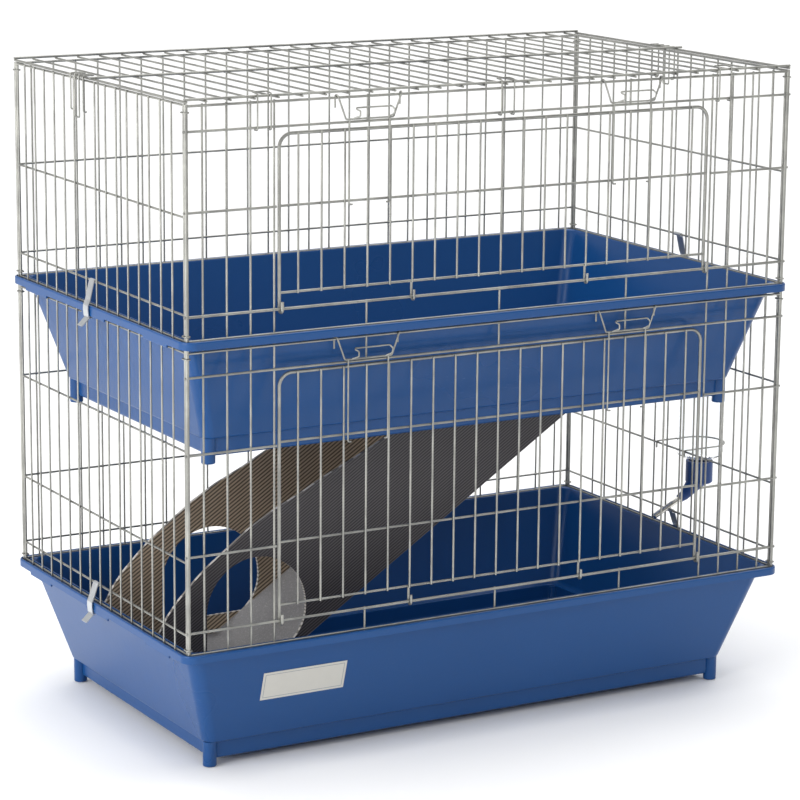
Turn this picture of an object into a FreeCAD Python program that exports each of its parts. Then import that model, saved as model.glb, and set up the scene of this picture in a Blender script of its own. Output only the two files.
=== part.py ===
import FreeCAD, Part
import math
import os
from FreeCAD import Vector

# A two-tier wire pet cage. Lengths are in millimetres, z up from the floor.
# The row of wires on the long front runs along X and the front faces -Y.

# ---------------------------------------------------------------- dimensions
HALF_X = 385.0            # cage centre to the plane of each side panel
HALF_Y = 225.0            # cage centre to the plane of the front and back panels
TIER = 343.0              # the upper tray stands this far above the lower one

PEG_RADIUS = 7.8
PEG_X = 336.5             # the four round corner columns stand proud of the plinth
PEG_Y = 175.0
PLINTH_Z = 7.8            # underside of the raised plinth below each tray
WALL_Z = 28.6             # level where the sloping tray wall starts
DECK_Z = 141.0            # underside of the tray's flat edge
RIM_Z = 147.0             # top of the tray rim
GROOVE_Z = 143.2          # floor of the groove that the wire panels stand in
SKIN = 2.5                # thickness of the moulded tray
FLOOR_Z = PLINTH_Z + SKIN
RAIL_Z = 146.5            # bottom rail of every panel, seated in the groove

POST_D = 4.2
RAIL_D = 2.8
HINGE_RAIL_D = 3.2
BAR_D = 2.3               # upright wires of the front panels and doors
SIDE_RAIL_D = 2.4
SIDE_BAR_D = 2.2
END_BAR_D = 3.0
WELD = 0.3                # how far crossing wires sink into each other

FRONT_PITCH = 28.1
SIDE_PITCH = 27.8
LOWER_CROWN = 483.8       # top of the lower panels, inside the upper tray's edge
UPPER_CROWN = 739.5

LOWER_LEVELS = {"hinge": 170.5, "mids": (255.0, 366.5), "header": 450.5, "top": 477.0}
UPPER_LEVELS = {"hinge": 515.5, "mids": (626.0,), "header": 711.0, "top": 737.7}
LOWER_SIDE_RAILS = (167.4, 248.0, 370.3, 477.0)
UPPER_SIDE_RAILS = (517.0, 621.0, 738.4)

DOOR_FRAME_D = 3.8
DOOR_HALF_X = 274.8
DOOR_X = 0.5
ROOF_Z = 744.2            # the long rails of the roof
ROOF_SIDE_Z = 741.7
ROOF_BAR_Z = 742.0

LATCH_D = 2.0             # the yoke; the wires welded to it are a little thinner
FINGER_D = 1.9
GRIP_D = 1.8
CLIP_D = 1.8
STRAP_WIDTH = 13.0
STRAP_SHEET = 1.0

BOTTLE_X = 427.0
BOTTLE_Y = -14.0
TUBE_START = Vector(403.5, BOTTLE_Y, 183.0)
TUBE_TIP = Vector(360.5, BOTTLE_Y, 162.4)
TUBE_RADIUS = 3.5
TUBE_BORE = 2.8
TUBE_LIP = 2.2
BALL_RADIUS = 2.6
BALL_DEPTH = 1.49         # ball centre back from the tip of the tube
BALL_TRAVEL = 1.5

RAMP_SLOPE = 0.65
RAMP_NEAR_Y = -77.0
RAMP_FAR_Y = 68.0
RAMP_SHEET = 4.0


# ------------------------------------------------------------ building blocks
def rod(start, end, diameter):
    start = Vector(*start)
    end = Vector(*end)
    return Part.makeCylinder(diameter / 2, start.distanceToPoint(end), start, end - start)


def bent_wire(points, diameter, bends):
    """A round wire through the points, with each corner eased to its bend radius."""
    points = [Vector(*p) for p in points]
    if not isinstance(bends, (list, tuple)):
        bends = [bends] * (len(points) - 2)
    edges = []
    here = points[0]
    for corner, before, after, bend in zip(points[1:-1], points[:-2], points[2:], bends):
        back = (before - corner).normalize()
        ahead = (after - corner).normalize()
        half = back.getAngle(ahead) / 2
        setback = bend / math.tan(half)
        first = corner + back * setback
        last = corner + ahead * setback
        centre = corner + (back + ahead).normalize() * (bend / math.sin(half))
        middle = centre + (corner - centre).normalize() * bend
        if here.distanceToPoint(first) > 0.01:
            edges.append(Part.makeLine(here, first))
        else:
            first = here
        edges.append(Part.Arc(first, middle, last).toShape())
        here = last
    edges.append(Part.makeLine(here, points[-1]))
    path = Part.Wire(edges)
    profile = Part.Wire(Part.makeCircle(diameter / 2, points[0], points[1] - points[0]))
    return path.makePipeShell([profile], True, False)


def rounded_rectangle(half_x, half_y, radius, z):
    """A closed outline centred on the Z axis."""
    x = half_x - radius
    y = half_y - radius
    k = radius * math.sqrt(0.5)
    edges = []
    corners = [(1, 1), (-1, 1), (-1, -1), (1, -1)]
    for index, (sx, sy) in enumerate(corners):
        side_end = Vector(sx * half_x, sy * y, z)
        flat_end = Vector(sx * x, sy * half_y, z)
        middle = Vector(sx * (x + k), sy * (y + k), z)
        start, end = (side_end, flat_end) if sx * sy > 0 else (flat_end, side_end)
        edges.append(Part.Arc(start, middle, end).toShape())
        nx, ny = corners[(index + 1) % 4]
        if sx != nx:
            edges.append(Part.makeLine(end, Vector(nx * x, ny * half_y, z)))
        else:
            edges.append(Part.makeLine(end, Vector(nx * half_x, ny * y, z)))
    return Part.Wire(edges)


def prism(half_x, half_y, radius, low, high):
    face = Part.Face(rounded_rectangle(half_x, half_y, radius, low))
    return face.extrude(Vector(0, 0, high - low))


def box(low, high):
    size = [b - a for a, b in zip(low, high)]
    return Part.makeBox(size[0], size[1], size[2], Vector(*low))


def fuse(solids):
    joined = solids[0].multiFuse(solids[1:])
    return joined.removeSplitter()


def outline_face(points):
    points = [Vector(*p) for p in points]
    return Part.Face(Part.makePolygon(points + [points[0]]))


def turn_to(side, shape):
    """Mirror a shape made for the right-hand side (+X) to the left when side is -1."""
    if side > 0:
        return shape
    return shape.mirror(Vector(0, 0, 0), Vector(1, 0, 0))


nodes = {}

# ---------------------------------------------------------------------- trays
WALL_SLOPE = 34.5 / (DECK_Z - WALL_Z)


def tray_wall(z, inset, base):
    """Outline of the sloping wall at height z, moved inwards by inset."""
    grow = WALL_SLOPE * (z - WALL_Z)
    radius = 13.0 + 4.0 * (z - WALL_Z) / (DECK_Z - WALL_Z) - inset
    return rounded_rectangle(345.5 + grow - inset, 185.5 + grow - inset, radius, base + z)


def tray(base):
    outside = Part.makeLoft([tray_wall(WALL_Z, 0, base), tray_wall(DECK_Z, 0, base)], True, True)
    plinth = prism(337.0, 179.0, 12.0, base + PLINTH_Z, base + WALL_Z)
    rim = prism(392.5, 234.5, 16.0, base + 138.0, base + RIM_Z)
    hollow = prism(390.3, 232.3, 14.0, base + 138.0, base + DECK_Z)
    edge = rim.cut(hollow)
    skirt = prism(392.5, 234.5, 16.0, base + 135.0, base + 138.0)
    skirt = skirt.cut(prism(390.3, 232.3, 14.0, base + 135.0, base + 138.0))
    tab_boxes = []
    for low, high in ((-333, -261), (-24, 42), (275, 345)):
        tab_boxes.append(box((low, -240, base + 135), (high, -226, base + 138)))
        tab_boxes.append(box((low, 226, base + 135), (high, 240, base + 138)))
    for low, high in ((-190, -130), (-30, 30), (130, 190)):
        tab_boxes.append(box((-400, low, base + 135), (-386, high, base + 138)))
        tab_boxes.append(box((386, low, base + 135), (400, high, base + 138)))
    tabs = skirt.common(Part.makeCompound(tab_boxes))
    pegs = []
    for sx in (-1, 1):
        for sy in (-1, 1):
            spot = Vector(sx * PEG_X, sy * PEG_Y, base)
            pegs.append(Part.makeCylinder(PEG_RADIUS, WALL_Z, spot))
    body = fuse([plinth, outside, edge] + tabs.Solids + pegs)
    step = WALL_Z + SKIN
    room = Part.makeLoft([tray_wall(step, SKIN, base), tray_wall(150.0, SKIN, base)], True, True)
    well = prism(334.5, 176.5, 9.5, base + FLOOR_Z, base + step)
    groove = prism(389.5, 229.5, 8.0, base + GROOVE_Z, base + 150.0)
    groove = groove.cut(prism(381.0, 221.0, 4.0, base + GROOVE_Z, base + 150.0))
    return body.cut(room.fuse(well)).cut(groove)


nodes["lower_tray"] = tray(0.0)
ramp_opening = box((0.0, -75.0, TIER), (227.0, 70.0, TIER + 20.0))
nodes["upper_tray"] = tray(TIER).cut(ramp_opening)


def wall_y(z):
    return -(185.5 + WALL_SLOPE * (z - WALL_Z))


label_foot = (-287.0, wall_y(74.0), 74.0)
label_head = (-287.0, wall_y(108.0), 108.0)
out = Vector(0, -1, WALL_SLOPE).normalize() * 0.5
label_face = outline_face([label_foot, label_head, Vector(*label_head) + out, Vector(*label_foot) + out])
nodes["front_label"] = label_face.extrude(Vector(104.0, 0, 0))

# ---------------------------------------------------------------- wire panels
FRONT_BAR_X = [19.7 + FRONT_PITCH * i - HALF_X for i in range(27)]
SIDE_BAR_Y = [30.4 + SIDE_PITCH * j - HALF_Y for j in range(15)]
FRONT_BAR_Y = -HALF_Y + RAIL_D / 2 + BAR_D / 2 - WELD
SIDE_BAR_X = HALF_X + SIDE_RAIL_D / 2 + SIDE_BAR_D / 2 - WELD
BACK_BAR_Y = HALF_Y + SIDE_RAIL_D / 2 + SIDE_BAR_D / 2 - WELD


def front_panel(base, levels, crown):
    """Posts, rails and bars round the door opening, as four pieces that touch."""
    y = -HALF_Y
    foot = base + GROOVE_Z
    wires = [rod((sx * HALF_X, y, foot), (sx * HALF_X, y, crown), POST_D) for sx in (-1, 1)]
    for i in (0, 1, 2, 3, 23, 24, 25, 26):
        wires.append(rod((FRONT_BAR_X[i], FRONT_BAR_Y, foot), (FRONT_BAR_X[i], FRONT_BAR_Y, crown), BAR_D))
    for i in (7, 13, 19):
        x = FRONT_BAR_X[i]
        wires.append(rod((x, FRONT_BAR_Y, foot), (x, FRONT_BAR_Y, levels["hinge"] + 1.2), BAR_D))
        wires.append(rod((x, FRONT_BAR_Y, levels["header"] - 1.0), (x, FRONT_BAR_Y, crown), BAR_D))
    long_rails = [(base + RAIL_Z, RAIL_D, 1.5), (levels["hinge"], HINGE_RAIL_D, 3.5)]
    long_rails += [(levels["header"], RAIL_D, 3.5), (levels["top"], RAIL_D, 1.5)]
    for z, diameter, beyond in long_rails:
        end = HALF_X + beyond
        wires.append(rod((-end, y, z), (end, y, z), diameter))
    for z in levels["mids"]:
        wires.append(rod((-HALF_X - 3.5, y, z), (FRONT_BAR_X[3] + 1.5, y, z), RAIL_D))
        wires.append(rod((FRONT_BAR_X[23] - 1.5, y, z), (HALF_X + 3.5, y, z), RAIL_D))
    panel = fuse(wires)
    left, right = -278.0, 278.5
    middle = (levels["hinge"] + levels["header"]) / 2
    zones = [
        box((-400, -240, foot - 5), (left, -210, crown + 5)),
        box((right, -240, foot - 5), (400, -210, crown + 5)),
        box((left, -240, middle), (right, -210, crown + 5)),
        box((left, -240, foot - 5), (right, -210, middle)),
    ]
    pieces = []
    for zone in zones:
        pieces += panel.common(zone).Solids
    return Part.makeCompound(pieces)


def side_panel(side, base, rails, crown):
    """Made for +X with its bars outside the rails, then mirrored for -X."""
    foot = base + GROOVE_Z
    wires = []
    for sy in (-1, 1):
        wires.append(rod((HALF_X, sy * 220.5, foot), (HALF_X, sy * 220.5, crown), END_BAR_D))
    for y in SIDE_BAR_Y:
        wires.append(rod((SIDE_BAR_X, y, foot), (SIDE_BAR_X, y, crown), SIDE_BAR_D))
    for z in (base + RAIL_Z,) + rails:
        wires.append(rod((HALF_X, -220.5, z), (HALF_X, 220.5, z), SIDE_RAIL_D))
    return turn_to(side, fuse(wires))


def back_panel(base, rails, crown):
    foot = base + GROOVE_Z
    wires = []
    for sx in (-1, 1):
        wires.append(rod((sx * HALF_X, HALF_Y, foot), (sx * HALF_X, HALF_Y, crown), POST_D))
    for x in FRONT_BAR_X:
        wires.append(rod((x, BACK_BAR_Y, foot), (x, BACK_BAR_Y, crown), SIDE_BAR_D))
    for z in (base + RAIL_Z,) + rails:
        wires.append(rod((-HALF_X, HALF_Y, z), (HALF_X, HALF_Y, z), SIDE_RAIL_D))
    return fuse(wires)


nodes["lower_front_panel"] = front_panel(0.0, LOWER_LEVELS, LOWER_CROWN)
nodes["upper_front_panel"] = front_panel(TIER, UPPER_LEVELS, UPPER_CROWN)
nodes["lower_back_panel"] = back_panel(0.0, LOWER_SIDE_RAILS, LOWER_CROWN)
nodes["upper_back_panel"] = back_panel(TIER, UPPER_SIDE_RAILS, UPPER_CROWN)
for name, side in (("left", -1), ("right", 1)):
    nodes["lower_" + name + "_panel"] = side_panel(side, 0.0, LOWER_SIDE_RAILS, LOWER_CROWN)
    nodes["upper_" + name + "_panel"] = side_panel(side, TIER, UPPER_SIDE_RAILS, UPPER_CROWN)

roof_wires = []
for y, reach in ((-HALF_Y, 387.0), (0.0, 392.0), (HALF_Y, 387.0)):
    roof_wires.append(rod((-reach, y, ROOF_Z), (reach, y, ROOF_Z), RAIL_D))
for sx in (-1, 1):
    roof_wires.append(rod((sx * HALF_X, -227.0, ROOF_SIDE_Z), (sx * HALF_X, 227.0, ROOF_SIDE_Z), RAIL_D))
for x in FRONT_BAR_X:
    roof_wires.append(rod((x + 2.5, -229.0, ROOF_BAR_Z), (x + 2.5, 226.2, ROOF_BAR_Z), SIDE_BAR_D))
nodes["roof_panel"] = fuse(roof_wires)


def corner_tie(sx, sy, z):
    """A flat loop round a corner post and the end bar of the side panel beside it."""
    radius = 3.0
    x = sx * HALF_X
    near = sy * HALF_Y
    far = sy * 220.5
    edges = [
        Part.makeLine(Vector(x - radius, far, z), Vector(x - radius, near, z)),
        Part.Arc(Vector(x - radius, near, z), Vector(x, near + sy * radius, z),
                 Vector(x + radius, near, z)).toShape(),
        Part.makeLine(Vector(x + radius, near, z), Vector(x + radius, far, z)),
        Part.Arc(Vector(x + radius, far, z), Vector(x, far - sy * radius, z),
                 Vector(x - radius, far, z)).toShape(),
    ]
    profile = Part.Wire(Part.makeCircle(0.8, Vector(x - radius, far, z), Vector(0, 1, 0)))
    return Part.Wire(edges).makePipeShell([profile], True, False)


for name, levels in (("lower", (152.0, 471.0)), ("upper", (TIER + 152.0, 731.0))):
    ties = [corner_tie(sx, sy, z) for sx in (-1, 1) for sy in (-1, 1) for z in levels]
    nodes["corner_ties_" + name] = Part.makeCompound(ties)

# ---------------------------------------------------------------------- doors
FRAME_TURN = HINGE_RAIL_D / 2 + DOOR_FRAME_D / 2 + 0.08
HOOK_TURN = HINGE_RAIL_D / 2 + RAIL_D / 2 + 0.08
DOOR_Y = -HALF_Y + FRAME_TURN
DOOR_RAIL_Y = -HALF_Y + HOOK_TURN
DOOR_BAR_Y = DOOR_Y - DOOR_FRAME_D / 2 - BAR_D / 2 + 0.32


def door(levels, mids, top):
    """A framed grille whose feet curl under the hinge rail and up in front of it."""
    hinge = levels["hinge"]
    left = DOOR_X - DOOR_HALF_X
    right = DOOR_X + DOOR_HALF_X
    front = -HALF_Y - FRAME_TURN
    low = hinge - FRAME_TURN
    path = [(left, front, hinge + 8), (left, front, low), (left, DOOR_Y, low), (left, DOOR_Y, top)]
    path += [(right, DOOR_Y, top), (right, DOOR_Y, low), (right, front, low), (right, front, hinge + 8)]
    wires = [bent_wire(path, DOOR_FRAME_D, [FRAME_TURN, FRAME_TURN, 15, 15, FRAME_TURN, FRAME_TURN])]
    for z in (hinge + 17.0,) + mids:
        wires.append(rod((left, DOOR_RAIL_Y, z), (right, DOOR_RAIL_Y, z), RAIL_D))
    for x in FRONT_BAR_X[4:23]:
        wires.append(rod((x, DOOR_BAR_Y, hinge + 15.6), (x, DOOR_BAR_Y, top + 1.0), BAR_D))
    hook_front = -HALF_Y - HOOK_TURN
    hook_low = hinge - HOOK_TURN
    for i in (9, 17):
        x = FRONT_BAR_X[i]
        hook = [(x, hook_front, hinge + 8), (x, hook_front, hook_low)]
        hook += [(x, DOOR_RAIL_Y, hook_low), (x, DOOR_RAIL_Y, hinge + 17)]
        wires.append(bent_wire(hook, RAIL_D, HOOK_TURN))
    return fuse(wires)


nodes["lower_door"] = door(LOWER_LEVELS, (258.0, 369.5), 444.8)
nodes["upper_door"] = door(UPPER_LEVELS, (626.0,), 702.6)


def latch(x, rail_z):
    """A wire yoke on the top rail with two long fingers that hang over the door."""
    def at(s, out_by, up):
        return (x + s, -HALF_Y - out_by, rail_z + up)
    yoke = [at(-39.5, -2.6, -11), at(-39.5, -2.6, 2.6), at(-39, 2.7, 2.6), at(-29, 2.7, -23.5)]
    yoke += [at(29, 2.7, -23.5), at(39, 2.7, 2.6), at(39.5, -2.6, 2.6), at(39.5, -2.6, -11)]
    pieces = [bent_wire(yoke, LATCH_D, 2.4)]
    for sx in (-1, 1):
        finger = [at(sx * 20.8, 2.75, -115), at(sx * 24.8, 2.75, -115), at(sx * 24.8, 2.75, -23.1)]
        pieces.append(bent_wire(finger, FINGER_D, 2.0))
    grip = [at(-20.3, 2.95, -23.2), at(-15, 9, -20), at(-15, 9, -14.5), at(-20, 4, -11.5)]
    grip += [at(26, 4, -11.5), at(28, 8, -15), at(27, 7, -20), at(21.5, 2.9, -23.3)]
    pieces.append(bent_wire(grip, GRIP_D, 2.0))
    return fuse(pieces)


for tier, levels in (("lower", LOWER_LEVELS), ("upper", UPPER_LEVELS)):
    nodes[tier + "_left_door_latch"] = latch(FRONT_BAR_X[7], levels["top"])
    nodes[tier + "_right_door_latch"] = latch(FRONT_BAR_X[19], levels["top"])

# ----------------------------------------------------------------- roof clips
def front_clip(x):
    def at(s, out_by, up):
        return (x + s, -HALF_Y - out_by, ROOF_Z + up)
    half = [at(-8, -4, -35.9), at(-8, 2.6, -35.9), at(-8, 2.6, 2.5), at(-8, -9, 3.5)]
    rest = [at(8, -9, 3.5), at(8, 2.6, 2.5), at(8, 2.6, -35.9), at(8, -4, -35.9)]
    return bent_wire(half + rest, CLIP_D, 1.9)


def double_clip(at):
    """Two loops over the rail joined by a lower loop; at() places the points."""
    steps = [(17, 0.3, -37.7), (17, 4.3, -37.7), (17, 4.3, 2.5), (17, -9, 2.5), (6, -9, 2.5)]
    steps += [(6, 4.3, 2.5), (6, 4.3, -44.7)]
    path = [at(-s, out_by, up) for s, out_by, up in steps]
    path += [at(s, out_by, up) for s, out_by, up in reversed(steps)]
    return bent_wire(path, CLIP_D, 1.9)


nodes["roof_clip_front_left"] = front_clip(-295.0)
nodes["roof_clip_front_middle"] = front_clip(4.3)
nodes["roof_clip_front_right"] = front_clip(295.0)
nodes["roof_clip_left"] = double_clip(
    lambda s, out_by, up: (-HALF_X - out_by, 41.7 + s, ROOF_SIDE_Z + up))
nodes["roof_clip_right"] = double_clip(
    lambda s, out_by, up: (HALF_X + out_by, 27.8 + s, ROOF_SIDE_Z + up))


# ---------------------------------------------------------------- strap clips
def strap_clip(side, y, rail_z, rim_z):
    """A springy strip that hangs on a side rail and hooks under the tray rim."""
    drop = rail_z - rim_z
    low = drop + 13.7
    line = [(1.75, 0), (6.8, 6 - drop), (9.3, -drop), (9.6, -drop - 5), (8.8, 1.5 - low)]
    line += [(7.5, -low), (3.0, -low)]
    tail = [(7.5, -low), (16.5, -low - 8.6)]
    centre = Vector(HALF_X, y - STRAP_WIDTH / 2, rail_z)
    along = Vector(0, 1, 0)
    eye = Part.makeCylinder(2.25, STRAP_WIDTH, centre, along)
    eye = eye.cut(Part.makeCylinder(1.25, STRAP_WIDTH, centre, along))
    pieces = []
    for chain in (line, tail):
        for (x0, z0), (x1, z1) in zip(chain[:-1], chain[1:]):
            start = centre + Vector(x0, 0, z0)
            end = centre + Vector(x1, 0, z1)
            across = (end - start).normalize().cross(along) * (STRAP_SHEET / 2)
            face = outline_face([start + across, end + across, end - across, start - across])
            pieces.append(face.extrude(along * STRAP_WIDTH))
            pieces.append(Part.makeCylinder(STRAP_SHEET / 2, STRAP_WIDTH, end, along))
    strip = fuse(pieces).cut(Part.makeCylinder(1.9, STRAP_WIDTH, centre, along))
    return turn_to(side, fuse([eye, strip]))


for tier, base, rail_z in (("lower", 0.0, 167.4), ("upper", TIER, 517.0)):
    nodes[tier + "_left_strap_clip"] = strap_clip(-1, 14.0, rail_z, base + RIM_Z)
    nodes[tier + "_right_strap_clip"] = strap_clip(1, -14.0, rail_z, base + RIM_Z)

# ----------------------------------------------------------------------- ramp
RAMP_TOP_Z = TIER + PLINTH_Z - 0.5


def ramp_wall(y, window_shift):
    """A side wall of the ramp. Its window stands window_shift further along X."""
    end_x = (RAMP_TOP_Z - FLOOR_Z) / RAMP_SLOPE - 298.4
    edge = [(-333.5, FLOOR_Z), (-298.4, FLOOR_Z), (end_x, RAMP_TOP_Z), (5.0, RAMP_TOP_Z)]
    edge += [(-41, 332), (-86, 309), (-141, 284), (-171, 268.5), (-207, 252), (-238, 234)]
    edge += [(-267, 213), (-292, 194.5), (-307.5, 180.5), (-326.5, 161.5), (-340, 144.5), (-354, 120)]
    edge += [(-351, 60), (-333.5, 31.6)]     # the foot steps in over the tray's lower wall
    face = outline_face([(x, y, z) for x, z in edge])
    window = Part.Wire([
        Part.makeLine(Vector(-291, y, 91), Vector(-291, y, 144)),
        Part.Arc(Vector(-291, y, 144), Vector(-272, y, 183), Vector(-226, y, 200.5)).toShape(),
        Part.Arc(Vector(-226, y, 200.5), Vector(-184, y, 183), Vector(-164.5, y, 138)).toShape(),
        Part.Arc(Vector(-164.5, y, 138), Vector(-169.5, y, 112), Vector(-186, y, 92.5)).toShape(),
        Part.makeLine(Vector(-186, y, 92.5), Vector(-291, y, 91)),
    ])
    window.translate(Vector(window_shift, 0, 0))
    sheet = face.extrude(Vector(0, RAMP_SHEET, 0))
    return sheet.cut(Part.Face(window).extrude(Vector(0, RAMP_SHEET, 0)))


nodes["ramp_near_wall"] = ramp_wall(RAMP_NEAR_Y, 0.0)
nodes["ramp_far_wall"] = ramp_wall(RAMP_FAR_Y, 13.0)

LIP_Z = TIER + FLOOR_Z + 0.1
walk_low = RAMP_NEAR_Y + RAMP_SHEET
walk_high = RAMP_FAR_Y
top_x = (LIP_Z + 3.0 - 8.0 - FLOOR_Z) / RAMP_SLOPE - 298.4
under_x = (LIP_Z - 4.0 - FLOOR_Z) / RAMP_SLOPE - 298.4
walk = [(-345, 66.0), (-206, 66.0), (under_x, LIP_Z), (255.0, LIP_Z), (255.0, LIP_Z + 3.0)]
walk += [(top_x, LIP_Z + 3.0), (-210.5, 70.0), (-345, 70.0)]
walk_face = outline_face([(x, walk_low, z) for x, z in walk])
nodes["ramp_walkway"] = walk_face.extrude(Vector(0, walk_high - walk_low, 0))


# --------------------------------------------------------------- water bottle
def turned(profile):
    """Revolve an (r, z) outline round the bottle's axis."""
    face = outline_face([(BOTTLE_X + r, BOTTLE_Y, z) for r, z in profile])
    return face.revolve(Vector(BOTTLE_X, BOTTLE_Y, 0), Vector(0, 0, 1), 360)


bottle_skin = [(13, 221), (13, 230), (22, 232), (27.5, 235), (29, 240), (29, 331), (26, 336.5)]
bottle_skin += [(20, 339), (0, 339), (0, 337.4), (19.5, 337.4), (25, 335.2), (27.5, 330.4)]
bottle_skin += [(27.5, 240.4), (26.3, 236.4), (21.5, 233.6), (11.5, 231.6), (11.5, 221)]
nodes["bottle"] = turned(bottle_skin)

tube_way = (TUBE_TIP - TUBE_START).normalize()
tube_length = TUBE_START.distanceToPoint(TUBE_TIP)
elbow = Vector(406.0, BOTTLE_Y, 184.4)
neck = Vector(BOTTLE_X, BOTTLE_Y, 205.0)
cap = turned([(0, 199), (15.5, 199), (17, 200.5), (17, 226.5), (16.5, 227), (13.05, 227), (13.05, 206), (0, 206)])
spout = Part.makeCone(12.5, 6.3, neck.distanceToPoint(elbow), neck, elbow - neck)
knuckle = Part.makeSphere(6.3, elbow)
nose = Part.makeCone(6.3, 5.2, 9.0, elbow, tube_way)
socket = Part.makeCylinder(TUBE_RADIUS, 14.0, TUBE_START, tube_way)
keep = box((380, -60, 160), (460, 40, 206))
nodes["bottle_cap"] = fuse([cap, fuse([spout, knuckle, nose]).common(keep)]).cut(socket)

tube = Part.makeCylinder(TUBE_RADIUS, tube_length, TUBE_START, tube_way)
seat_depth = BALL_DEPTH + BALL_RADIUS + BALL_TRAVEL + 0.15
tube = tube.cut(Part.makeCylinder(1.6, tube_length, TUBE_START, tube_way))
tube = tube.cut(Part.makeCylinder(TUBE_BORE, seat_depth - 1.0, TUBE_TIP - tube_way * seat_depth, tube_way))
nodes["sipper_tube"] = tube.cut(Part.makeCone(TUBE_BORE, TUBE_LIP, 1.0, TUBE_TIP - tube_way, tube_way))
nodes["sipper_ball"] = Part.makeSphere(BALL_RADIUS, TUBE_TIP - tube_way * BALL_DEPTH)

HOLD_Z = 250.3
HOLD_R = 30.2
hold_left = BOTTLE_Y - HOLD_R
hold_right = BOTTLE_Y + HOLD_R
hold_path = [
    Part.makeLine(Vector(382.5, hold_left, 242), Vector(382.5, hold_left, 248.3)),
    Part.Arc(Vector(382.5, hold_left, 248.3), Vector(383.086, hold_left, 249.714),
             Vector(384.5, hold_left, HOLD_Z)).toShape(),
    Part.makeLine(Vector(384.5, hold_left, HOLD_Z), Vector(BOTTLE_X, hold_left, HOLD_Z)),
    Part.Arc(Vector(BOTTLE_X, hold_left, HOLD_Z), Vector(BOTTLE_X + HOLD_R, BOTTLE_Y, HOLD_Z),
             Vector(BOTTLE_X, hold_right, HOLD_Z)).toShape(),
    Part.makeLine(Vector(BOTTLE_X, hold_right, HOLD_Z), Vector(384.5, hold_right, HOLD_Z)),
    Part.Arc(Vector(384.5, hold_right, HOLD_Z), Vector(383.086, hold_right, 249.714),
             Vector(382.5, hold_right, 248.3)).toShape(),
    Part.makeLine(Vector(382.5, hold_right, 248.3), Vector(382.5, hold_right, 242)),
]
hold_profile = Part.Wire(Part.makeCircle(1.0, Vector(382.5, hold_left, 242), Vector(0, 0, 1)))
nodes["bottle_holder"] = Part.Wire(hold_path).makePipeShell([hold_profile], True, False)

# --------------------------------------------------- place on origin, export
lows = []
highs = []
for shape in nodes.values():
    bounds = shape.optimalBoundingBox(False, False)
    lows.append((bounds.XMin, bounds.YMin, bounds.ZMin))
    highs.append((bounds.XMax, bounds.YMax, bounds.ZMax))
low = [min(values) for values in zip(*lows)]
high = [max(values) for values in zip(*highs)]
shift = Vector(-(low[0] + high[0]) / 2, -(low[1] + high[1]) / 2, -low[2])
print("extents", [round(value, 3) for value in low], [round(value, 3) for value in high])
print("shift", round(shift.x, 4), round(shift.y, 4), round(shift.z, 4))
for name, shape in nodes.items():
    shape.translate(shift)
    shape.exportStep("parts/" + name + ".step")
    print(name, "solids", len(shape.Solids), "valid", shape.isValid(), "volume", round(shape.Volume))
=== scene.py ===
# %% [markdown]
# # A wire rabbit cage on two floors
# The cage is made of welded wire grilles that stand in grooved plastic trays, with fold-down
# doors, a ramp inside and a drinking bottle outside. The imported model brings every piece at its
# right place and size. This script gives each piece its finish, and makes again the pieces whose
# look depends on soft edges and fine relief: the two trays and the two walls of the ramp.

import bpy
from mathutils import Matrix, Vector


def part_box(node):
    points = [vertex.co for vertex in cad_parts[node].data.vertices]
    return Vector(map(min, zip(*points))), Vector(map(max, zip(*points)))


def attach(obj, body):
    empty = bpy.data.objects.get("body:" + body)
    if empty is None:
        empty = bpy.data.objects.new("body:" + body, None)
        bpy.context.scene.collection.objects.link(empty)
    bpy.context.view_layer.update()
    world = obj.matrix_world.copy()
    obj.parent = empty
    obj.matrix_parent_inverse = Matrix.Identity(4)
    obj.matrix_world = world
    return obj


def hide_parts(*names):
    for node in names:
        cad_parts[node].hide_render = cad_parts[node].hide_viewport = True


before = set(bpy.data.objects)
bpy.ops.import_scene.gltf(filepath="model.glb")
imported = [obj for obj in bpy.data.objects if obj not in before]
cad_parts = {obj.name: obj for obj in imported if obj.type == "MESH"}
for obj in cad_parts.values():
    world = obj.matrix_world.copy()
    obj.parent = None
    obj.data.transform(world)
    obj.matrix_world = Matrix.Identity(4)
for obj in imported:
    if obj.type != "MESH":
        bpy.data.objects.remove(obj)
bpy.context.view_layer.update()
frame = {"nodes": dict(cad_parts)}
nodes = frame["nodes"]
print("pieces from the model:", len(nodes))

# %% [markdown]
# The pieces that are made again are modelled with bmesh, and sizes and angles need a little
# geometry.

# %% Modules
import math

import bmesh
import bpy
from mathutils import Matrix, Vector

# %% [markdown]
# ## Reference sizes
# All places are worked out from the lower tray, which stands level and square under the cage,
# and from the other pieces' own boxes. Lengths are in metres.

# %% Reference sizes
tray_low, tray_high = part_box("lower_tray")
TRAY_CENTRE = (tray_low + tray_high) / 2
CENTRE_X, CENTRE_Y = TRAY_CENTRE.x, TRAY_CENTRE.y
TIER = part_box("upper_tray")[0].z
MM = 0.001
print("tray centre", round(CENTRE_X, 4), round(CENTRE_Y, 4), "upper floor", round(TIER, 3))

# %% [markdown]
# ## Camera
# The cage is seen from its front left corner, from a little above the roof, with a long lens
# that keeps its uprights nearly parallel.

# %% Camera
LENS = 138.0
YAW = math.radians(29.79)
PITCH = math.radians(12.40)
ROLL = math.radians(0.50)
FROM_CENTRE = Vector((-1.7575, -3.073, 1.123))
SENSOR_WIDTH = 36.0
FAR_CLIP = 60

ahead = math.cos(PITCH)
forward = Vector((math.sin(YAW) * ahead, math.cos(YAW) * ahead, -math.sin(PITCH)))
level_right = Vector((math.cos(YAW), -math.sin(YAW), 0))
level_up = level_right.cross(forward)
right = math.cos(ROLL) * level_right + math.sin(ROLL) * level_up
up = math.cos(ROLL) * level_up - math.sin(ROLL) * level_right

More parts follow.
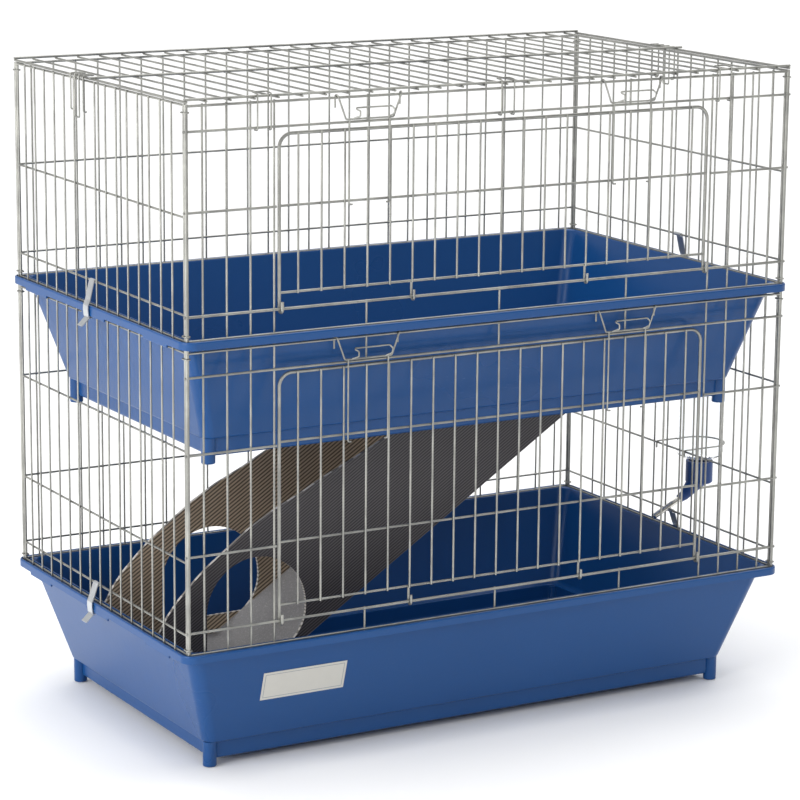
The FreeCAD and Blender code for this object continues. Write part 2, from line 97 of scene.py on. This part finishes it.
camera_data = bpy.data.cameras.new("camera")
camera_data.lens = LENS
camera_data.sensor_width = SENSOR_WIDTH
camera_data.clip_end = FAR_CLIP
camera = bpy.data.objects.new("camera", camera_data)
camera.location = Vector((CENTRE_X, CENTRE_Y, 0)) + FROM_CENTRE
camera.rotation_mode = "QUATERNION"
camera.rotation_quaternion = Matrix((right, up, -forward)).transposed().to_quaternion()
bpy.context.collection.objects.link(camera)
bpy.context.scene.camera = camera
print("camera", [round(c, 3) for c in camera.location])

# %% [markdown]
# ## A small language for finishes
# Every finish is a tree of shader nodes. The first class below holds one output socket, so that
# sums and products of patterns can be written as plain Python. The second adds any other node in
# one call, and the third is a material with the patterns that plastic and metal need.

# %% Shader helpers
class Signal:
    """One output socket. Arithmetic on it adds Math nodes to its tree."""

    def __init__(self, nodes, socket):
        self.nodes = nodes
        self.socket = socket

    def maths(self, operation, *others):
        inputs = dict(enumerate((self, *others)))
        return self.nodes.add("Math", inputs, operation=operation)

    def __add__(self, other):
        return self.maths("ADD", other)

    def __sub__(self, other):
        return self.maths("SUBTRACT", other)

    def __rsub__(self, other):
        return self.maths("MULTIPLY_ADD", -1.0, other)

    def __mul__(self, other):
        return self.maths("MULTIPLY", other)

    __radd__ = __add__
    __rmul__ = __mul__

    def above(self, level):
        return self.maths("GREATER_THAN", level)

    def smooth(self, low, high):
        """0 below low, 1 above high, and an even rise between."""
        inputs = {"Value": self, "From Min": low, "From Max": high}
        return self.nodes.add("MapRange", inputs, interpolation_type="SMOOTHSTEP")


class Nodes:
    """A tree of shader nodes. add() makes any node and returns one of its outputs."""

    def __init__(self, tree):
        self.tree = tree
        self.tree.nodes.clear()

    def add(self, kind, inputs=None, output=0, **settings):
        node = self.tree.nodes.new("ShaderNode" + kind)
        for name, value in settings.items():
            setattr(node, name, value)
        for name, value in (inputs or {}).items():
            if isinstance(value, Signal):
                self.tree.links.new(value.socket, node.inputs[name])
            else:
                node.inputs[name].default_value = value
        return Signal(self, node.outputs[output]) if node.outputs else None

    def axes(self, place):
        """The X, Y and Z of a vector, each as a signal."""
        node = self.add("SeparateXYZ", {0: place}).socket.node
        return [Signal(self, node.outputs[axis]) for axis in "XYZ"]


# A Mix node has its sockets once for each kind of value, so the colour ones go by number.
MIX_FACTOR, MIX_ONE, MIX_OTHER, MIX_RESULT = 0, 6, 7, 2


class Finish(Nodes):
    """A material under construction."""

    def __init__(self, name):
        self.material = bpy.data.materials.new(name)
        self.material.use_nodes = True
        super().__init__(self.material.node_tree)
        self.place = self.add("TexCoord", output="Object")
        self.x, self.y, self.z = self.axes(self.place)

    def noise(self, scale, detail=3.0, rough=0.5, at=None):
        inputs = {"Vector": at or self.place, "Scale": scale, "Detail": detail, "Roughness": rough}
        return self.add("TexNoise", inputs)

    def stretched(self, scale):
        """Object coordinates scaled unevenly, for scratches and drawing marks."""
        return self.add("Mapping", {"Vector": self.place, "Scale": scale})

    def blend(self, factor, one, other):
        """A colour between two colours."""
        inputs = {MIX_FACTOR: factor, MIX_ONE: one, MIX_OTHER: other}
        return self.add("Mix", inputs, output=MIX_RESULT, data_type="RGBA")

    def bump(self, height, distance, strength=1.0):
        inputs = {"Height": height, "Distance": distance, "Strength": strength}
        return self.add("Bump", inputs)

    def surface(self, **sockets):
        """Finish with one Principled shader; keywords use _ for a space in a socket's name."""
        inputs = {name.replace("_", " "): value for name, value in sockets.items()}
        self.add("OutputMaterial", {"Surface": self.add("BsdfPrincipled", inputs)})
        return self.material


def colour(red, green, blue):
    """A colour as mixed on screen (0 to 255), turned into the light values that shaders use."""
    def linear(c):
        c = c / 255
        return c / 12.92 if c <= 0.04045 else ((c + 0.055) / 1.055) ** 2.4
    return (linear(red), linear(green), linear(blue), 1.0)


def wear(piece, material):
    """Give every part of a piece the same material."""
    piece.data.materials.clear()
    piece.data.materials.append(material)


print("shader helpers ready")

# %% [markdown]
# ## Zinc-plated wire
# Drawn steel wire gets a thin, slightly milky zinc coat after welding. It is a metal with a soft
# gloss: cloudy patches a few centimetres long vary its grey and its roughness, and fine grain
# breaks up the highlights.

# %% Wire finish
def zinc_wire():
    f = Finish("zinc wire")
    clouds = f.noise(28, 3, 0.6)
    grain = f.noise(900, 2, 0.6)
    streaks = f.noise(1.0, 2, 0.5, at=f.stretched((700, 700, 40)))
    tone = f.blend(clouds.smooth(0.3, 0.7), colour(140, 140, 136), colour(168, 168, 162))
    tone = f.blend(streaks.smooth(0.55, 0.8) * 0.35, tone, colour(96, 96, 94))
    height = grain * 0.6 + clouds * 0.4
    return f.surface(Base_Color=tone, Metallic=0.85, Roughness=0.30 + clouds * 0.22,
                     Normal=f.bump(height, 0.0002, 0.25))


wire = zinc_wire()
WIRE_SLOT = [n for n in nodes if "panel" in n or "ties" in n or "door" in n or "roof_clip" in n]
WIRE_SLOT.append("bottle_holder")
for name in WIRE_SLOT:
    wear(nodes[name], wire)
print("wire pieces:", len(WIRE_SLOT))

# %% [markdown]
# ## Spring steel strips
# The strap clips are cut from brushed strip. The brushing runs along the strip, so the noise is
# stretched up and down, and handling leaves duller smears.

# %% Strap finish
def brushed_strip():
    f = Finish("brushed strip")
    lines = f.noise(1.0, 3, 0.6, at=f.stretched((1500, 1500, 30)))
    smears = f.noise(60, 3, 0.6)
    tone = f.blend(smears, colour(178, 182, 186), colour(214, 216, 218))
    return f.surface(Base_Color=tone, Metallic=0.9, Roughness=0.22 + smears * 0.2 + lines * 0.1,
                     Normal=f.bump(lines, 0.0002, 0.3))


strip = brushed_strip()
STRAPS = [n for n in nodes if "strap_clip" in n]
for name in STRAPS:
    wear(nodes[name], strip)
print("straps:", len(STRAPS))

# %% [markdown]
# ## Blue tray plastic
# The trays are glossy polypropylene. Moulded plastic is never quite even: the colour drifts a
# little across a wall, the gloss is duller where it has been handled, the surface has a faint
# orange-peel ripple, and a few hair scratches catch the light.

# %% Tray finish
def tray_plastic():
    f = Finish("tray plastic")
    drift = f.noise(3.2, 3, 0.5)
    peel = f.noise(160, 2, 0.5)
    ripple = f.noise(14, 2, 0.5)
    scratch = f.noise(1.0, 2, 0.7, at=f.stretched((60, 60, 900))).smooth(0.68, 0.78)
    dust = f.noise(420, 4, 0.7).smooth(0.62, 0.8)
    tone = f.blend(drift, colour(14, 66, 122), colour(22, 78, 138))
    tone = f.blend(scratch * 0.05, tone, colour(120, 150, 200))
    tone = f.blend(dust * 0.06, tone, colour(190, 200, 215))
    rough = 0.24 + drift * 0.10 + scratch * 0.05
    height = ripple * 0.8 + peel * 0.2
    return f.surface(Base_Color=tone, Roughness=rough, IOR=1.49, Specular_IOR_Level=0.36,
                     Normal=f.bump(height, 0.0012, 0.25))


blue = tray_plastic()

# %% [markdown]
# ## Trays
# A tray is one skin that goes round and round: under the plinth, up the sloping wall, out under
# the edge, over the rim, down into the groove that holds the wire panels, and down the inside to
# the floor. So it is modelled as a rounded rectangle of points that is extruded again and again,
# and each new ring is placed by its half width, half depth, corner radius and height. Small
# fillets are just three or four rings close together. The upper tray's last rings go down
# through its floor, round the hatch at the top of the ramp.

# %% Ring modelling
CORNER_STEPS = 9


def place_ring(ring, half_x, half_y, radius, z, middle=(0.0, 0.0)):
    """Move a ring's points onto a rounded rectangle. All sizes in millimetres."""
    for index, vert in enumerate(ring):
        corner, step = divmod(index, CORNER_STEPS + 1)
        angle = math.radians(90 * corner + 90 * step / CORNER_STEPS)
        side_x = 1 if corner in (0, 3) else -1
        side_y = 1 if corner in (0, 1) else -1
        x = middle[0] + side_x * (half_x - radius) + radius * math.cos(angle)
        y = middle[1] + side_y * (half_y - radius) + radius * math.sin(angle)
        vert.co = Vector((CENTRE_X + x * MM, CENTRE_Y + y * MM, z * MM))


def extrude_ring(bm, ring):
    """Extrude a closed ring of points and return the new ring in the same order."""
    edges = [bm.edges.get((ring[i - 1], ring[i])) for i in range(len(ring))]
    made = bmesh.ops.extrude_edge_only(bm, edges=edges)
    fresh = {v for v in made["geom"] if isinstance(v, bmesh.types.BMVert)}
    return [next(e.other_vert(v) for e in v.link_edges if e.other_vert(v) in fresh) for v in ring]


def fillet(start, corner, end, steps=4):
    """Rings that ease one profile corner: points of a curve pulled towards the corner."""
    rings = []
    for step in range(steps + 1):
        t = step / steps
        weights = ((1 - t) ** 2, 2 * t * (1 - t), t ** 2)
        points = list(zip(start, corner, end))
        rings.append(tuple(sum(w * v for w, v in zip(weights, values)) for values in points))
    return rings


def object_from(bm, name, body, material, smooth_angle):
    """Turn a finished bmesh into a piece that rides on a body."""
    mesh = bpy.data.meshes.new(name)
    for face in bm.faces:
        face.smooth = True
    for edge in bm.edges:
        if len(edge.link_faces) == 2 and edge.calc_face_angle(0) > math.radians(smooth_angle):
            edge.smooth = False
    bm.to_mesh(mesh)
    bm.free()
    piece = bpy.data.objects.new(name, mesh)
    bpy.context.collection.objects.link(piece)
    wear(piece, material)
    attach(piece, body)
    return piece


def weigh_normals(piece):
    modifier = piece.modifiers.new("weighted normals", "WEIGHTED_NORMAL")
    modifier.keep_sharp = True
    modifier.weight = 80


print("ring helpers ready")

# %% [markdown]
# Below is the tray's section, from the underside of the plinth to the floor inside. Each entry
# is half width, half depth, corner radius and height above the feet of the tray's columns, in
# millimetres.

# %% Tray section
SKIN = 2.5
PLINTH_Z = 7.8
WALL_Z = 28.6
LEDGE_Z = WALL_Z + SKIN
SKIRT_Z = 138.0
DECK_Z = 141.0
GROOVE_Z = 143.2
RIM_Z = 147.0
FLOOR_Z = PLINTH_Z + SKIN
WALL_SLOPE = 34.5 / (DECK_Z - WALL_Z)

PLINTH = (337, 179)
WALL_FOOT = (345.5, 185.5)
FLOOR_EDGE = (334.5, 176.5)
GROOVE_INSIDE = (381, 221)
GROOVE_OUTSIDE = (389.5, 229.5)
SKIRT_INSIDE = (390.3, 232.3)
RIM = (392.5, 234.5)


def ring_at(size, grow, radius, z):
    """One ring of the section, grown from a named half width and half depth."""
    return (size[0] + grow, size[1] + grow, radius, z)


def wall_ring(z, inset=0.0):
    """A ring on the sloping wall, whose corners get rounder as it rises."""
    rise = z - WALL_Z
    radius = 13 + 4 * rise / (DECK_Z - WALL_Z) - inset
    return ring_at(WALL_FOOT, WALL_SLOPE * rise - inset, radius, z)


def outside_rings():
    """Under the plinth, up the wall and out below the deck to the skirt."""
    rings = fillet(ring_at(PLINTH, -4, 8, PLINTH_Z), ring_at(PLINTH, 0, 12, PLINTH_Z),
                   ring_at(PLINTH, 0, 12, PLINTH_Z + 4))
    rings += fillet(ring_at(PLINTH, 0, 12, WALL_Z - 1.6), ring_at(PLINTH, 0, 12, WALL_Z),
                    ring_at(PLINTH, 2, 13, WALL_Z), 3)
    rings += fillet(ring_at(WALL_FOOT, -2.5, 11, WALL_Z), ring_at(WALL_FOOT, 0, 13, WALL_Z),
                    wall_ring(31.5))
    rings += [wall_ring(z) for z in (60, 90, 120)]
    rings += fillet(wall_ring(DECK_Z - 4), wall_ring(DECK_Z), (383, 223, 17, DECK_Z))
    return rings


def rim_rings():
    """Down the skirt's inside, round its foot, and up its outside to the rim."""
    inner = SKIRT_INSIDE
    rings = fillet(ring_at(inner, -1.5, 13, DECK_Z), ring_at(inner, 0, 14, DECK_Z),
                   ring_at(inner, 0, 14, DECK_Z - 1.4), 3)
    rings += fillet(ring_at(inner, 0, 14, SKIRT_Z + 0.6), ring_at(inner, 0.2, 14, SKIRT_Z),
                    ring_at(inner, 1.1, 15, SKIRT_Z), 2)
    rings += fillet(ring_at(RIM, -0.9, 15, SKIRT_Z), ring_at(RIM, 0, 16, SKIRT_Z),
                    ring_at(RIM, 0, 16, SKIRT_Z + 0.9), 2)
    rings += fillet(ring_at(RIM, 0, 16, RIM_Z - 1.8), ring_at(RIM, 0, 16, RIM_Z),
                    ring_at(RIM, -1.6, 14.6, RIM_Z))
    return rings


def groove_rings():
    """Across the groove that holds the wire panels, and back up to the rim's level."""
    outer, inner = GROOVE_OUTSIDE, GROOVE_INSIDE
    rings = fillet(ring_at(outer, 0.6, 9, RIM_Z), ring_at(outer, 0, 8, RIM_Z),
                   ring_at(outer, 0, 8, RIM_Z - 0.6), 2)
    rings += fillet(ring_at(outer, 0, 8, GROOVE_Z + 0.8), ring_at(outer, 0, 8, GROOVE_Z),
                    ring_at(outer, -0.8, 7, GROOVE_Z), 2)
    rings += fillet(ring_at(inner, 0.6, 4.6, GROOVE_Z), ring_at(inner, 0, 4, GROOVE_Z),
                    ring_at(inner, 0, 4, GROOVE_Z + 0.6), 2)
    rings += fillet(ring_at(inner, 0, 4, RIM_Z - 0.5), ring_at(inner, 0, 4, RIM_Z),
                    ring_at(inner, -0.6, 5, RIM_Z), 2)
    return rings


def inside_rings():
    """Down the inside of the wall, over the ledge at its foot, and down to the floor."""
    floor = FLOOR_EDGE
    rings = fillet((380, 220, 8, RIM_Z), (379.2, 219.2, 11, RIM_Z), wall_ring(145, SKIN), 3)
    rings += [wall_ring(z, SKIN) for z in (120, 90, 60)]
    rings += fillet(wall_ring(36, SKIN), (343.8, 183.8, 10.5, LEDGE_Z), (340, 180.6, 9.5, LEDGE_Z))
    rings += fillet(ring_at(floor, 2, 10, LEDGE_Z), ring_at(floor, 0, 9.5, LEDGE_Z),
                    ring_at(floor, 0, 9.5, LEDGE_Z - 2))
    rings += fillet(ring_at(floor, 0, 9.5, FLOOR_Z + 4), ring_at(floor, 0, 9.5, FLOOR_Z),
                    ring_at(floor, -4, 7, FLOOR_Z))
    return rings


def tray_section():
    return outside_rings() + rim_rings() + groove_rings() + inside_rings()


HATCH = {"half_x": 113.5, "half_y": 72.5, "radius": 4.0, "middle": (113.5, -2.5)}
HATCH_LIP = ((1.0, FLOOR_Z), (0.3, FLOOR_Z - 0.2), (0.0, FLOOR_Z - 0.8),
             (0.0, PLINTH_Z + 0.8), (0.3, PLINTH_Z + 0.2), (1.0, PLINTH_Z))
print("rings in the section:", len(tray_section()))

# %% [markdown]
# At both ends of the tray the skirt hangs a little lower in three short tabs. It would be slow
# to model them one by one, so the finished skirt is cut where each tab starts and stops, and the
# points of its lower edge between the cuts are pulled down. Two cuts close together make each
# end of a tab a slope.

# %% Skirt tabs
TAB_SPANS = ((-190, -130), (-30, 30), (130, 190))
TAB_DROP = 3.0
TAB_END = 0.6                # half the length of the slope at a tab's end
SKIRT_ZONE = (SKIRT_Z - 0.2, DECK_Z + 0.2)
LOWER_EDGE_ZONE = (SKIRT_Z - 0.2, SKIRT_Z + 0.95)
END_FACE_BEYOND = 228        # faces whose middle is further out than this are at the tray's ends
LOWER_EDGE_BEYOND = 389


def end_skirt(bm, base):
    """The faces of the skirt's foot at both ends of the tray, with their edges and points."""
    low, high = ((base + z) * MM for z in SKIRT_ZONE)
    geometry = set()
    for face in bm.faces:
        if not all(low < vert.co.z < high for vert in face.verts):
            continue
        if abs(face.calc_center_median().x - CENTRE_X) > END_FACE_BEYOND * MM:
            geometry.update([face], face.edges, face.verts)
    return list(geometry)


def skirt_tabs(bm, base):
    """Cut the skirt where each tab starts and stops, then pull its lower edge down between."""
    along = Vector((0, 1, 0))
    for low, high in TAB_SPANS:
        for y in (low - TAB_END, low + TAB_END, high - TAB_END, high + TAB_END):
            at = Vector((CENTRE_X, CENTRE_Y + y * MM, 0))
            bmesh.ops.bisect_plane(bm, geom=end_skirt(bm, base), plane_co=at, plane_no=along)
    for vert in bm.verts:
        x, y = (vert.co.x - CENTRE_X) / MM, (vert.co.y - CENTRE_Y) / MM
        z = vert.co.z / MM - base
        at_lower_edge = LOWER_EDGE_ZONE[0] < z < LOWER_EDGE_ZONE[1] and abs(x) > LOWER_EDGE_BEYOND
        if at_lower_edge and any(a < y < b for a, b in TAB_SPANS):
            vert.co.z -= TAB_DROP * MM


# %% [markdown]
# Each tray stands on four round columns at its corners. A column is a plain cylinder whose foot
# is bevelled, and it runs up to the foot of the wall.

# %% Tray modelling
PEG = {"radius": 7.8, "height": WALL_Z, "x": 336.5, "y": 175.0, "round": 1.0, "sides": 48}


def peg(bm, x, y, base):
    """A corner column: a cylinder with a rounded foot, from the floor to the wall's foot."""
    height = PEG["height"]
    place = Matrix.Translation((CENTRE_X + x * MM, CENTRE_Y + y * MM, (base + height / 2) * MM))
    radius = PEG["radius"] * MM
    made = bmesh.ops.create_cone(bm, cap_ends=True, segments=PEG["sides"], radius1=radius,
                                 radius2=radius, depth=height * MM, matrix=place)
    foot = {e for v in made["verts"] for e in v.link_edges
            if all(w.co.z < (base + PEG["round"]) * MM for w in e.verts)}
    bmesh.ops.bevel(bm, geom=list(foot), offset=PEG["round"] * MM, segments=4, profile=0.5,
                    affect="EDGES", material=-1)


def tray(name, base, hatch):
    bm = bmesh.new()
    count = 4 * (CORNER_STEPS + 1)
    first = bmesh.ops.create_circle(bm, cap_ends=False, segments=count, radius=1)["verts"]
    ring = list(first)
    section = [values + ((0.0, 0.0),) for values in tray_section()]
    if hatch:
        size = (hatch["half_x"], hatch["half_y"])
        section += [ring_at(size, grow, hatch["radius"] + grow, z) + (hatch["middle"],)
                    for grow, z in HATCH_LIP]
    place_ring(ring, *section[0][:3], base + section[0][3], section[0][4])
    for half_x, half_y, radius, z, middle in section[1:]:
        ring = extrude_ring(bm, ring)
        place_ring(ring, half_x, half_y, radius, base + z, middle)
    if hatch:
        ends = [bm.edges.get((r[i - 1], r[i])) for r in (first, ring) for i in range(count)]
        bmesh.ops.bridge_loops(bm, edges=ends)
    else:
        bmesh.ops.contextual_create(bm, geom=list(first))
        bmesh.ops.contextual_create(bm, geom=list(ring))
    skirt_tabs(bm, base)
    for x in (-PEG["x"], PEG["x"]):
        for y in (-PEG["y"], PEG["y"]):
            peg(bm, x, y, base)
    bmesh.ops.recalc_face_normals(bm, faces=bm.faces)
    piece = object_from(bm, name, "cage", blue, 30)
    weigh_normals(piece)
    return piece


lower = tray("tray_lower", 0.0, None)
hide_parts("lower_tray")
upper = tray("tray_upper", TIER / MM, HATCH)
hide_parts("upper_tray")
for piece in (lower, upper):
    print(piece.name, "faces", len(piece.data.polygons))

# %% [markdown]
# ## Fluted ramp sheet
# The ramp's walls are cut from fluted plastic sheet, two thin skins joined by many small webs.
# The skins sink a little between the webs, so the walls show fine ribs along the slope; their
# colour is also painted darker in the valleys, as painted shade. The cut edges are paler, with the
# open ends of the flutes as a row of dark dots that are painted shade in the holes, and the skins
# that face the walkway are painted lighter and browner than the outer ones, as painted light.

# %% Fluted sheet finish
SLOPE = math.atan(0.65)


def fluted_sheet(name, pitch, inward):
    """Ribs of the given pitch along the ramp's slope, with painted shade in their valleys and pale
    cut edges. The skin that faces the walkway gets painted light; inward is 1 if that skin faces
    +Y, and -1 if it faces -Y."""
    f = Finish(name)
    across = f.z * math.cos(SLOPE) - f.x * math.sin(SLOPE)
    # The ribs' relief drives the bump and also paints shade into the colour, darker in the
    # valleys.
    rib_relief_and_valley_shade = (across * (2 * math.pi / pitch)).maths("SINE").smooth(-0.9, 0.9)
    facing = f.axes(f.add("TexCoord", output="Normal"))[1]
    flat = facing.maths("ABSOLUTE").smooth(0.6, 0.9)
    clouds = f.noise(9, 3, 0.5)
    grain = f.noise(650, 3, 0.6)
    # inner picks the skin that faces the walkway; its lighter, browner colour below is painted
    # light.
    inner = (facing * inward).smooth(0.0, 0.5)
    outer_skin = f.blend(rib_relief_and_valley_shade, colour(42, 40, 42), colour(96, 92, 94))
    lit_inner_skin = f.blend(rib_relief_and_valley_shade, colour(80, 69, 58), colour(196, 176, 152))
    skin = f.blend(inner, outer_skin, lit_inner_skin)
    skin = f.blend(clouds * 0.25, skin, f.blend(inner, colour(70, 67, 69), colour(140, 125, 108)))
    # The cut edges' dark dots are painted shade in the open ends of the flutes.
    edge = f.blend(rib_relief_and_valley_shade.smooth(0.3, 0.6), colour(122, 118, 113), colour(188, 184, 178))
    tone = f.blend(flat, edge, skin)
    return f.surface(Base_Color=tone, Roughness=0.42 + grain * 0.2, IOR=1.46,
                     Normal=f.bump(rib_relief_and_valley_shade * 0.5 + grain * 0.12, 0.0003, 0.5))


# %% [markdown]
# The ribs are real relief. A copy of each wall is sliced by planes along the slope, and every
# second cut is pressed in. The near wall's ribs are finer than the far wall's.

# %% Ramp walls
FLAT_ANGLE = math.radians(1)


def fluted_wall(node_name, piece_name, pitch, depth, finish):
    """A copy of the flat wall, sliced along the slope, with every second cut pressed in."""
    bm = bmesh.new()
    bm.from_mesh(nodes[node_name].data)
    bmesh.ops.remove_doubles(bm, verts=bm.verts, dist=0.01 * MM)
    bmesh.ops.dissolve_limit(bm, angle_limit=FLAT_ANGLE, verts=bm.verts, edges=bm.edges)
    low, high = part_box(node_name)
    normal = Vector((-math.sin(SLOPE), 0, math.cos(SLOPE)))
    reach = [normal.dot(Vector((x, 0, z))) for x in (low.x, high.x) for z in (low.z, high.z)]
    spacing = pitch / 2
    first = math.ceil(min(reach) / spacing)
    last = math.floor(max(reach) / spacing)
    pressed = []
    for step in range(first, last + 1):
        geometry = bm.verts[:] + bm.edges[:] + bm.faces[:]
        cut = bmesh.ops.bisect_plane(bm, geom=geometry, plane_co=normal * (step * spacing),
                                     plane_no=normal, dist=1e-7)
        if step % 2:
            pressed += [v for v in cut["geom_cut"] if isinstance(v, bmesh.types.BMVert)]
    middle = (low.y + high.y) / 2
    for vert in set(pressed):
        vert.co.y += depth * (1 if vert.co.y < middle else -1)
    bmesh.ops.recalc_face_normals(bm, faces=bm.faces)
    piece = object_from(bm, piece_name, "cage", finish, 25)
    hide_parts(node_name)
    return piece


NEAR_PITCH, NEAR_DEPTH = 3.1 * MM, 0.15 * MM
FAR_PITCH, FAR_DEPTH = 4.0 * MM, 0.25 * MM
near_sheet = fluted_sheet("fine fluted sheet", NEAR_PITCH, 1.0)
far_sheet = fluted_sheet("fluted sheet", FAR_PITCH, -1.0)
near_wall = fluted_wall("ramp_near_wall", "ramp_wall_near", NEAR_PITCH, NEAR_DEPTH, near_sheet)
far_wall = fluted_wall("ramp_far_wall", "ramp_wall_far", FAR_PITCH, FAR_DEPTH, far_sheet)
for wall in (near_wall, far_wall):
    print(wall.name, "faces", len(wall.data.polygons))

# %% [markdown]
# ## Ramp floor
# The rabbit walks on a pale, speckled surface that is rough enough to grip. Two sizes of fleck
# over a mid grey, with a bump of the same flecks, make it read as grit in plastic.

# %% Ramp floor finish
def grit():
    f = Finish("grit floor")
    coarse = f.noise(420, 2, 0.7)
    fine = f.noise(1300, 2, 0.6)
    clouds = f.noise(12, 3, 0.5)
    base = f.blend(clouds, colour(124, 122, 123), colour(146, 144, 143))
    tone = f.blend(coarse.smooth(0.5, 0.7) * 0.45, base, colour(180, 178, 175))
    tone = f.blend(fine.smooth(0.55, 0.7) * 0.5, tone, colour(88, 86, 86))
    return f.surface(Base_Color=tone, Roughness=0.72 + fine * 0.2,
                     Normal=f.bump(coarse * 0.6 + fine * 0.4, 0.0006, 0.6))


wear(nodes["ramp_walkway"], grit())
print("ramp floor done")

# %% [markdown]
# ## Label
# The film label on the front is left blank: a satin, slightly yellowed field with a thin keyline
# near its edge. The keyline is what lies inside one rectangle but outside a smaller one.

# %% Label finish
KEYLINE_OUTER = 2.6 * MM     # from the label's edge to the keyline's two sides
KEYLINE_INNER = 3.3 * MM


def label_film():
    low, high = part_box("front_label")
    centre, half = (low + high) / 2, (high - low) / 2
    f = Finish("label film")
    side = (f.x - centre.x).maths("ABSOLUTE")
    rise = (f.z - centre.z).maths("ABSOLUTE")
    outer, inner = ((1 - side.above(half.x - edge)) * (1 - rise.above(half.z - edge))
                    for edge in (KEYLINE_OUTER, KEYLINE_INNER))
    keyline = outer - inner
    paper = f.noise(90, 3, 0.6)
    tone = f.blend(paper * 0.5, colour(206, 204, 196), colour(192, 190, 182))
    tone = f.blend(keyline * 0.8, tone, colour(120, 128, 140))
    return f.surface(Base_Color=tone, Roughness=0.34 + paper * 0.12,
                     Normal=f.bump(f.noise(35, 2, 0.5), 0.0006, 0.3))


wear(nodes["front_label"], label_film())
print("label done")

# %% [markdown]
# ## Drinking bottle
# The bottle is clear blown plastic, the cap is the trays' blue but a purer shade, and the
# drinking tube is polished steel with a steel ball in its mouth.

# %% Bottle finishes
def clear_plastic():
    f = Finish("clear plastic")
    swirl = f.noise(22, 2, 0.5)
    return f.surface(Base_Color=(0.97, 0.985, 1.0, 1.0), Roughness=0.03 + swirl * 0.04, IOR=1.12,
                     Transmission_Weight=1.0, Normal=f.bump(swirl, 0.0006, 0.3))


def cap_plastic():
    f = Finish("cap plastic")
    drift = f.noise(30, 3, 0.5)
    tone = f.blend(drift, colour(12, 54, 112), colour(22, 70, 134))
    return f.surface(Base_Color=tone, Roughness=0.34 + drift * 0.1, Specular_IOR_Level=0.36,
                     Normal=f.bump(f.noise(240, 2, 0.5), 0.0003, 0.3))


def polished_steel():
    f = Finish("polished steel")
    haze = f.noise(120, 3, 0.6)
    tone = f.blend(haze, colour(196, 194, 188), colour(222, 220, 214))
    return f.surface(Base_Color=tone, Metallic=1.0, Roughness=0.08 + haze * 0.12,
                     Normal=f.bump(haze, 0.0002, 0.2))


wear(nodes["bottle"], clear_plastic())
wear(nodes["bottle_cap"], cap_plastic())
steel = polished_steel()
for name in ("sipper_tube", "sipper_ball"):
    wear(nodes[name], steel)
print("bottle done")

# %% [markdown]
# ## Studio
# A pale floor that runs far behind the cage, a bright even surround, and soft lights: a large
# one on the left that shines along the end of the trays, a weaker one high in front, and a
# broad overhead one that reaches all of the floor alike.

# %% Floor
FLOOR_HALF = 30
FLOOR_DROP = 0.5 * MM        # just below the feet, so that nothing lies in the same plane


def pale_floor():
    bm = bmesh.new()
    bmesh.ops.create_grid(bm, x_segments=1, y_segments=1, size=FLOOR_HALF)
    mesh = bpy.data.meshes.new("floor")
    bm.to_mesh(mesh)
    bm.free()
    floor = bpy.data.objects.new("floor", mesh)
    bpy.context.collection.objects.link(floor)
    f = Finish("floor")
    tone = f.blend(f.noise(2, 2, 0.5), (0.93, 0.93, 0.93, 1), (0.95, 0.95, 0.95, 1))
    wear(floor, f.surface(Base_Color=tone, Roughness=0.9))
    floor.location.z = -FLOOR_DROP


pale_floor()
print("floor half width", FLOOR_HALF)

# %% [markdown]
# The two area lights are aimed at the middle of the cage. The overhead light is a sun lamp with
# a very wide angle, because a sun's light is the same everywhere and its shadows are this soft.

# %% Lights
def soft_light(name, place, aim, width, height, power):
    data = bpy.data.lights.new(name, "AREA")
    data.shape = "RECTANGLE"
    data.size = width
    data.size_y = height
    data.energy = power
    light = bpy.data.objects.new(name, data)
    light.location = place
    light.rotation_mode = "QUATERNION"
    light.rotation_quaternion = (Vector(aim) - Vector(place)).to_track_quat("-Z", "Y")
    bpy.context.collection.objects.link(light)


AIM = (CENTRE_X, CENTRE_Y, 0.4)
soft_light("left light", (-3.2, -0.6, 1.3), AIM, 2.4, 2.0, 80)
soft_light("front light", (-0.4, -3.6, 2.2), AIM, 2.6, 1.6, 26)

sky_data = bpy.data.lights.new("overhead light", "SUN")
sky_data.energy = 2.4
sky_data.angle = math.radians(80)
sky = bpy.data.objects.new("overhead light", sky_data)
sky.rotation_euler = (math.radians(-8), math.radians(12), 0)
bpy.context.collection.objects.link(sky)

# %% [markdown]
# The surround lights the cage evenly, but it is dimmer on the viewer's side of the room so that
# the metal has contrast. The backdrop itself is seen brighter than it lights the cage.

# %% Surround
BEHIND_VIEWER, BEYOND_CAGE = -0.7, 0.5    # Y of the directions where the fade starts and ends
DIM, BRIGHT = 0.22, 0.62


def surround():
    world = bpy.data.worlds.new("surround")
    world.use_nodes = True
    w = Nodes(world.node_tree)
    direction_y = w.axes(w.add("TexCoord", output="Generated"))[1]
    level = w.add("MapRange", {"Value": direction_y, "From Min": BEHIND_VIEWER,
                               "From Max": BEYOND_CAGE, "To Min": DIM, "To Max": BRIGHT})
    seen = w.add("LightPath", output="Is Camera Ray")
    strength = level.maths("MAXIMUM", seen)
    background = w.add("Background", {"Color": (1, 1, 1, 1), "Strength": strength})
    w.add("OutputWorld", {"Surface": background})
    bpy.context.scene.world = world


surround()
bpy.context.scene.view_settings.view_transform = "Standard"
print("studio done")
